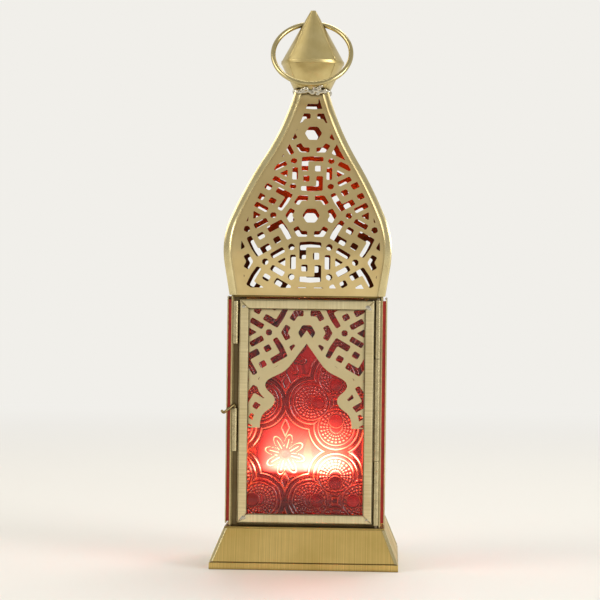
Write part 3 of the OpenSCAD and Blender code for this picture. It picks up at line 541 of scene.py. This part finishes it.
def roof_normals(points, flat, sides, crown=0.0):
    """True normals of a bent roof piece, and 1 on its outside, -1 on its inside, 0 elsewhere. A
    crowned strip leans outward at the corner and inward at its other edge."""
    normals, facing = flat.copy(), np.zeros(len(flat))
    for turn in sides:
        out = np.array([math.sin(math.radians(turn)), -math.cos(math.radians(turn)), 0])
        aside = np.array([math.cos(math.radians(turn)), math.sin(math.radians(turn)), 0])
        way = roof_direction(points @ out, points[:, 2])
        true = way[:, :1] * out + way[:, 1:] * np.array([0, 0, 1])
        match = (flat * true).sum(1)
        bent = np.abs(match) > sheet_match
        from_corner = np.clip((points @ out - np.abs(points @ aside)) / strip_width, 0, 1)
        lean = crown * (1 - 2 * from_corner) * np.sign(points @ aside)
        true = true + lean[:, None] * aside
        true /= np.linalg.norm(true, axis=1)[:, None]
        normals[bent] = true[bent] * np.sign(match[bent])[:, None]
        facing[bent] = np.sign(match[bent])
    return normals, facing


def shaded_copy(name, replaced, finishes, slot, rule, *settings):
    """A copy of one of the lantern's own solids that stands for it, with the normals of the
    true curve. A second finish goes on the inside."""
    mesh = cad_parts[replaced].data.copy()
    mesh.name = name
    mesh.materials.clear()
    for finish in finishes:
        mesh.materials.append(finish)
    points = np.empty(len(mesh.vertices) * 3)
    mesh.vertices.foreach_get("co", points)
    flat = np.empty(len(mesh.polygons) * 3)
    mesh.polygons.foreach_get("normal", flat)
    corner = np.empty(len(mesh.loops), np.int32)
    mesh.loops.foreach_get("vertex_index", corner)
    totals = np.empty(len(mesh.polygons), np.int32)
    mesh.polygons.foreach_get("loop_total", totals)
    starts = np.empty(len(mesh.polygons), np.int32)
    mesh.polygons.foreach_get("loop_start", starts)
    points = points.reshape(-1, 3)[corner] / MM
    flat = np.repeat(flat.reshape(-1, 3), totals, axis=0)
    normals, facing = rule(points, flat, *settings)
    inside = (facing[starts] < 0).astype(np.int32)
    mesh.polygons.foreach_set("material_index", inside * (len(finishes) - 1))
    mesh.polygons.foreach_set("use_smooth", [True] * len(totals))
    mesh.normals_split_custom_set(normals.tolist())
    piece = put(name, mesh)
    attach(piece, "lantern")
    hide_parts(replaced)


roof_brass = brass("roof_brass", "#DEC790", "#B49B66", 0.32, patch_mm=18)

# Inside of the roof, with painted candlelight: dull brown near the eaves, a painted pool of
# red-brown light above the flame, darker again at the top.
candlelit_inside_brass, tree = material("painted_candlelight_brass")
place = node(tree, "TexCoord").outputs["Object"]
height = node(tree, "SeparateXYZ", {0: place}).outputs[2]
cloud = node(tree, "TexNoise", {"Vector": place, "Scale": per_metre(12), "Detail": 4.0})
drift = node(tree, "MapRange", {"Value": cloud, "From Min": 0.3, "From Max": 0.7,
                                "To Min": -glow_drift_mm * MM, "To Max": glow_drift_mm * MM})
level = node(tree, "Math", {0: height, 1: drift}, operation="ADD")
candle_glow = node(tree, "MapRange", {"Value": level, "From Min": glow_low * MM,
                              "From Max": glow_high * MM})
candle_glow_fade = node(tree, "MapRange", {"Value": level, "From Min": glow_fade_low * MM,
                                 "From Max": glow_fade_high * MM})
low_tone = node(tree, "Mix", {0: candle_glow, 6: linear("#5A2E1A"), 7: linear("#B03C1A")},
                data_type="RGBA")
tone = node(tree, "Mix", {0: candle_glow_fade, 6: low_tone, 7: linear("#7A3420")}, data_type="RGBA")
metal = node(tree, "BsdfPrincipled", {"Base Color": tone, "Metallic": 1.0,
                                      "Roughness": inside_rough})
node(tree, "OutputMaterial", {"Surface": metal})

for index, wall in enumerate(walls):
    shaded_copy(f"pierced_{wall}", f"roof_panel_{wall}", (roof_brass, candlelit_inside_brass),
                "roof_brass", roof_normals, (90 * index,))
for index, corner in enumerate(corners):
    shaded_copy(f"fold_{corner}", f"roof_seam_{corner}", (seam_brass,), "trim_brass",
                roof_normals, (90 * index, 90 * index + 90), strip_crown)

# Finial
# A cup and a pointed spire of folded sheet brass, polished and closed with solder along their
# four corners, and a flat band where they meet.

neck_z, rim_low, rim_high, tip_z = 241.717, 256.317, 258.117, 284.517
neck_half, rim_half, tip_half = 8.7, 16.0, 1.3
arc_share = 1.25
swell_match = 0.97
fold_out, fold_sunk, fold_r, fold_wave, fold_steps = 0.75, 0.1, 0.38, 0.14, 10


def finial_normals(points, flat):
    """True normals of the finial's swelled sides, and 1 outside, -1 inside, 0 elsewhere."""
    z = points[:, 2]
    in_cup = z < rim_low + 0.01
    cup_grow = (rim_half - neck_half) / (rim_low - neck_z)
    spire_grow = (tip_half - rim_half) / (tip_z - rim_high)
    grow = np.where(in_cup, cup_grow, spire_grow)
    half = np.where(in_cup, neck_half + cup_grow * (z - neck_z),
                    rim_half + spire_grow * (z - rim_high))
    along_x = np.abs(flat[:, 0]) > np.abs(flat[:, 1])
    out = np.where(along_x[:, None], np.stack([np.sign(points[:, 0]), 0 * z], -1),
                   np.stack([0 * z, np.sign(points[:, 1])], -1))
    swell = points[:, :2] - (1 - arc_share) * half[:, None] * out
    swell /= np.linalg.norm(swell, axis=1)[:, None]
    rise = -grow * ((swell * out).sum(1) * (1 - arc_share) + arc_share)
    true = np.concatenate([swell, rise[:, None]], 1)
    true /= np.linalg.norm(true, axis=1)[:, None]
    match = (flat * true).sum(1)
    bent = np.abs(match) > swell_match
    normals = np.where(bent[:, None], true * np.sign(match)[:, None], flat)
    return normals, np.where(bent, np.sign(match), 0)


finial_brass = brass("polished_brass", "#D4C28A", "#AC965A", 0.34, patch_mm=7)
shaded_copy("spire", "finial_spire", (finial_brass,), "finial_brass", finial_normals)
shaded_copy("cup", "finial_cup", (finial_brass,), "finial_brass", finial_normals)
dress(["finial_rim"], finial_brass, 0.25)


def ringed_mesh(name, verts, rings, spokes):
    """A smooth closed skin over rings of points, one after another from end to end."""
    faces = []
    for i in range(rings - 1):
        for k in range(spokes):
            j = (k + 1) % spokes
            faces.append((i * spokes + k, i * spokes + j,
                          (i + 1) * spokes + j, (i + 1) * spokes + k))
    faces.append(tuple(range(spokes - 1, -1, -1)))
    faces.append(tuple((rings - 1) * spokes + k for k in range(spokes)))
    mesh = bpy.data.meshes.new(name)
    mesh.from_pydata(verts, [], faces)
    mesh.polygons.foreach_set("use_smooth", [True] * len(faces))
    return mesh


def tube_mesh(name, path, radii, spokes=8):
    """A round rod along a path of points in millimetres, with its own radius at each."""
    path = [Vector(p) for p in path]
    verts, side = [], None
    for i, (p, radius) in enumerate(zip(path, radii)):
        ahead = (path[min(i + 1, len(path) - 1)] - path[max(i - 1, 0)]).normalized()
        side = (ahead.orthogonal() if side is None else side - ahead * side.dot(ahead))
        side = side.normalized()
        other = ahead.cross(side)
        for k in range(spokes):
            turn = 2 * math.pi * k / spokes
            verts.append((p + radius * (math.cos(turn) * side + math.sin(turn) * other)) * MM)
    return ringed_mesh(name, verts, len(path), spokes)


def joined(name, meshes, finish, body):
    """One piece from several meshes, riding on a body."""
    shell = bmesh.new()
    for mesh in meshes:
        shell.from_mesh(mesh)
    whole = bpy.data.meshes.new(name)
    shell.to_mesh(whole)
    shell.free()
    whole.materials.append(finish)
    piece = put(name, whole)
    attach(piece, body)
    return piece


# The sheet's edges stand up a little along the finial's corners, where they are pinched.
folds = []
shares = [i / fold_steps for i in range(fold_steps + 1)]
for turn in range(4):
    spin = Matrix.Rotation(math.radians(45 + 90 * turn), 3, "Z")
    widths = [fold_r - fold_wave * abs(math.sin(9 * t + turn)) for t in shares]
    for low_z, high_z, low_half, high_half in (
            (neck_z + 1, rim_low, neck_half + 0.5, rim_half),
            (rim_high, tip_z - 0.6, rim_half, tip_half + 0.3)):
        halves = [low_half + (high_half - low_half) * t for t in shares]
        line = [spin @ Vector((half * fold_out * math.sqrt(2) - fold_sunk, 0,
                               low_z + (high_z - low_z) * t)) for half, t in zip(halves, shares)]
        folds.append(tube_mesh("fold", line, widths))
joined("finial_folds", folds, finial_brass, "lantern")

# Ring
# Drawn brass wire bent to a ring, lightly tarnished.

ring_brass = brass("ring_wire_brass", "#CDBE8C", "#8C7A4C", 0.22, patch_mm=8)
dress(["ring_handle"], ring_brass, 0, flat=False)

# Solder
# Soft solder run round the foot of the finial and left as it set: bright, uneven drops.
# Smaller spots hold the door's mitres.

drop_count, drop_out, drop_corner = 56, 8.6, 0.78
run_face_y, spot_face_y = -8.9, -38.35
# Larger drops on the front of the neck: place across, height over the neck and radius.
front_drops = ((-6.4, 0.3, 1.2), (-4.6, 1.0, 1.3), (-3.0, 1.6, 1.5), (-1.4, 0.4, 1.2),
               (0.4, -0.5, 1.5), (2.0, 0.7, 1.7), (3.7, 1.7, 1.4), (4.7, 3.0, 1.1),
               (5.3, 4.1, 0.7), (3.0, -1.0, 1.2), (1.2, 1.9, 1.0), (5.6, 0.2, 1.3),
               (7.0, 0.9, 1.0))
# Spots on the door's mitres: place across, height and radius.
door_spots = ((30.6, 131.4, 1.5), (31.6, 130.6, 1.0), (-31.8, 131.2, 1.1),
              (-30.8, 25.2, 1.4), (-32.0, 24.4, 0.9), (31.2, 24.8, 0.9))
bead_half_long, bead_y, bead_z, bead_steps = 36.5, -39.75, 135.9, 40

solder = brass("soft_solder", "#D2CCBA", "#8E8674", 0.2, patch_mm=1.5, grain_mm=0.8, bump=0.4)


def solder_run(name, drops, body, voxel_mm):
    """Drops of solder that run into each other: middle, radius and flattening of each, in mm."""
    shell = bmesh.new()
    for place, radius, squeeze in drops:
        stretch = Matrix.Diagonal((*[radius * s * MM for s in squeeze], 1))
        bmesh.ops.create_icosphere(shell, subdivisions=2, radius=1,
                                   matrix=Matrix.Translation(Vector(place) * MM) @ stretch)
    mesh = bpy.data.meshes.new(name)
    shell.to_mesh(mesh)
    shell.free()
    mesh.materials.append(solder)
    piece = put(name, mesh)
    melt = piece.modifiers.new("melt", "REMESH")
    melt.mode = "VOXEL"
    melt.voxel_size = voxel_mm * MM
    melt.use_smooth_shade = True
    settle = piece.modifiers.new("settle", "SMOOTH")
    settle.iterations = 1
    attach(piece, body)
    return piece


random = np.random.default_rng(7)
drops = []
for i in range(drop_count):
    turn = 2 * math.pi * i / drop_count
    radius = 0.95 + 0.35 * random.random()
    square = max(abs(math.cos(turn)), abs(math.sin(turn)), drop_corner)
    reach = drop_out / square + 0.3 * random.random()
    z = neck_z - 0.2 + 0.8 * random.random()
    drops.append(((reach * math.cos(turn), reach * math.sin(turn), z), radius,
                  (1, 1, 0.8 + 0.5 * random.random())))
for x, height, radius in front_drops:
    y = run_face_y - 0.35 * max(height, 0)
    drops.append(((x, y, neck_z + height), radius, (1, 0.75, 0.9)))
run = solder_run("neck_solder_run", drops, "lantern", 0.22)
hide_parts("neck_solder")

spots = [((x, spot_face_y, z), radius, (1, 0.16, 0.8)) for x, z, radius in door_spots]
solder_run("door_solder_spots", spots, "door", 0.16)

# A bead of solder closes the joint between each fixed frame and the plate above it.
beads = []
for turn in (90, 180, 270):
    spin = Matrix.Rotation(math.radians(turn), 3, "Z")
    line = [spin @ Vector((-bead_half_long + 2 * bead_half_long * t / bead_steps, bead_y, bead_z))
            for t in range(bead_steps + 1)]
    beads.append(tube_mesh("bead", line, [0.5 + 0.12 * random.random() for _ in line]))
joined("frame_solder_beads", beads, solder, "lantern")

# Catch
# Thick brass wire, bent by hand: a leg that turns in its tube, a falling arm and a hooked end.

catch_at, leg_low, bend_z = (-35.8, -37.7), 62.9, 82.1
wire_r, arm_long, hook_long = 0.7, 8.5, 1.6
arm_bend, hook_bend = 1.7, 0.9
arm_way = Vector((-0.7071 * 0.866, -0.7071 * 0.866, -0.5))
hook_way = Vector((-0.5, -0.5, 0.7071))
start = Vector((*catch_at, leg_low))
first_bend = Vector((*catch_at, bend_z))
second_bend = first_bend + arm_long * arm_way
end = second_bend + hook_long * hook_way


def rounded(before, bend, after, reach):
    """Points of a smooth bend between two straight runs."""
    a = bend + (before - bend).normalized() * reach
    b = bend + (after - bend).normalized() * reach
    return [a.lerp(bend, t).lerp(bend.lerp(b, t), t) for t in (0, 0.2, 0.4, 0.6, 0.8, 1)]


path = [start, start.lerp(first_bend, 0.5)]
path += rounded(start, first_bend, second_bend, arm_bend)
path += rounded(first_bend, second_bend, end, hook_bend)
path += [end, end + 0.25 * hook_way, end + 0.4 * hook_way]
radii = [wire_r] * (len(path) - 2) + [0.8 * wire_r, 0.4 * wire_r]
catch_wire = brass("catch_wire_brass", "#9E8C60", "#5A4A2C", 0.28, patch_mm=4)
catch = joined("catch_wire", [tube_mesh("catch", path, radii, 16)], catch_wire, "catch")
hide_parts("catch_hook")

# Candle
# A tealight: a foil cup, paraffin wax, a tin foot and a cotton wick, alight.

foil = brass("tealight_foil", "#D5D5D2", "#B9B9B6", 0.25)
dress(["tealight_cup", "wick_foot"], foil, 0.05)

wax, tree = material("paraffin_wax")
place = node(tree, "TexCoord").outputs["Object"]
cloud = node(tree, "TexNoise", {"Vector": place, "Scale": per_metre(5), "Detail": 3.0})
tone = node(tree, "Mix", {0: cloud, 6: linear("#F4EAD6"), 7: linear("#E6D6B8")},
            data_type="RGBA")
waves = node(tree, "Bump", {"Height": cloud, "Strength": 0.3, "Distance": 0.2 * MM})
body = node(tree, "BsdfPrincipled", {"Base Color": tone, "Roughness": 0.35, "IOR": 1.44,
                                     "Subsurface Weight": 0.4, "Subsurface Scale": 0.004,
                                     "Normal": waves})
node(tree, "OutputMaterial", {"Surface": body})
dress(["tealight_wax"], wax, 0.1)

cotton, tree = material("charred_cotton")
place = node(tree, "TexCoord").outputs["Object"]
braid = node(tree, "TexWave", {"Vector": place, "Scale": per_metre(5), "Distortion": 2.0},
             bands_direction="DIAGONAL").outputs["Fac"]
tone = node(tree, "Mix", {0: braid, 6: linear("#1C1712"), 7: linear("#4A4036")},
            data_type="RGBA")
strands = node(tree, "Bump", {"Height": braid, "Strength": 0.5, "Distance": 0.1 * MM})
body = node(tree, "BsdfPrincipled", {"Base Color": tone, "Roughness": 0.9, "Normal": strands})
node(tree, "OutputMaterial", {"Surface": body})
dress(["wick"], cotton, 0, flat=False)

# The flame: blue at its foot, yellow-white above the wick and amber at its leaning tip.
flame_low, flame_high, flame_r = 44.5, 64.0, 3.6
flame_lean, flame_end_r = 0.8, 0.02
flame_watts, flame_colour = 0.12, "#FFC080"
flame_steps, flame_spokes = 18, 20
flame_tone, tree = material("candle_flame")
place = node(tree, "TexCoord").outputs["Object"]
height = node(tree, "SeparateXYZ", {0: place}).outputs[2]
share = node(tree, "MapRange", {"Value": height, "From Min": flame_low * MM,
                                "From Max": flame_high * MM})
tone = node(tree, "ValToRGB", {0: share})
tone.color_ramp.elements[0].color = linear("#5A4A9A")
tone.color_ramp.elements[1].color = linear("#FFB050")
tone.color_ramp.elements.new(0.3).color = linear("#FFE6B0")
light = node(tree, "Emission", {"Color": tone.outputs[0], "Strength": 9.0})
node(tree, "OutputMaterial", {"Surface": light})

verts = []
for i in range(flame_steps + 1):
    t = i / flame_steps
    r = flame_end_r
    if 0 < t < 1:
        r = flame_r * math.sin(math.pi * min(t * 1.9, 1) / 2) * (1 - t) ** 0.55
    z = flame_low + (flame_high - flame_low) * t
    lean = flame_lean * t * t
    for k in range(flame_spokes):
        turn = 2 * math.pi * k / flame_spokes
        verts.append(((lean + r * math.cos(turn)) * MM, r * math.sin(turn) * MM, z * MM))
flame = put("flame", ringed_mesh("flame", verts, flame_steps + 1, flame_spokes))
flame.data.materials.append(flame_tone)
flame.visible_shadow = False
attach(flame, "candle")

data = bpy.data.lights.new("flame_light", "POINT")
data.energy = flame_watts
data.color = linear(flame_colour)[:3]
data.shadow_soft_size = 0.005
lamp = put("flame_light", data)
lamp.visible_transmission = False
lamp.location = (0, 0, 0.056)
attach(lamp, "candle")

# The worked glass gathers the flame's light into a wide bright patch that fades upward. One
# low lamp behind each pane gives that patch. Its light is strongest low in the middle.
patch_wide, patch_high = 0.052, 0.036
patch_out, patch_z = 0.0215, 0.0645
patch_watts, patch_colour = 0.3, "#FFE4C4"
full_half, foot_share, fade_power = 0.22, 0.12, 3.0
for turn in (0, 90, 180, 270):
    data = bpy.data.lights.new(f"patch_light_{turn}", "AREA")
    data.shape = "RECTANGLE"
    data.size, data.size_y = patch_wide, patch_high
    data.energy = patch_watts
    data.color = linear(patch_colour)[:3]
    data.use_nodes = True
    tree = data.node_tree
    tree.nodes.clear()
    at = node(tree, "SeparateXYZ", {0: node(tree, "NewGeometry").outputs["Parametric"]})
    off = node(tree, "Math", {0: at.outputs[0], 1: 0.5}, operation="SUBTRACT")
    aside = node(tree, "Math", {0: off}, operation="ABSOLUTE")
    wide = node(tree, "MapRange", {"Value": aside, "From Min": full_half, "From Max": 0.5,
                                   "To Min": 1.0, "To Max": 0.0},
                interpolation_type="SMOOTHSTEP")
    rise = node(tree, "MapRange", {"Value": at.outputs[1], "From Max": foot_share},
                interpolation_type="SMOOTHSTEP")
    left = node(tree, "Math", {0: 1.0, 1: at.outputs[1]}, operation="SUBTRACT")
    fall = node(tree, "Math", {0: left, 1: fade_power}, operation="POWER")
    both = node(tree, "Math", {0: wide, 1: rise}, operation="MULTIPLY")
    power = node(tree, "Math", {0: both, 1: fall}, operation="MULTIPLY")
    light = node(tree, "Emission", {"Strength": power})
    node(tree, "OutputLight", {"Surface": light})
    patch = put(f"patch_light_{turn}", data)
    patch.matrix_world = (Matrix.Rotation(math.radians(turn), 4, "Z")
                          @ Matrix.Translation((0, patch_out, patch_z))
                          @ Matrix.Rotation(math.radians(90), 4, "X"))
    patch.visible_camera = False
    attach(patch, "lantern")
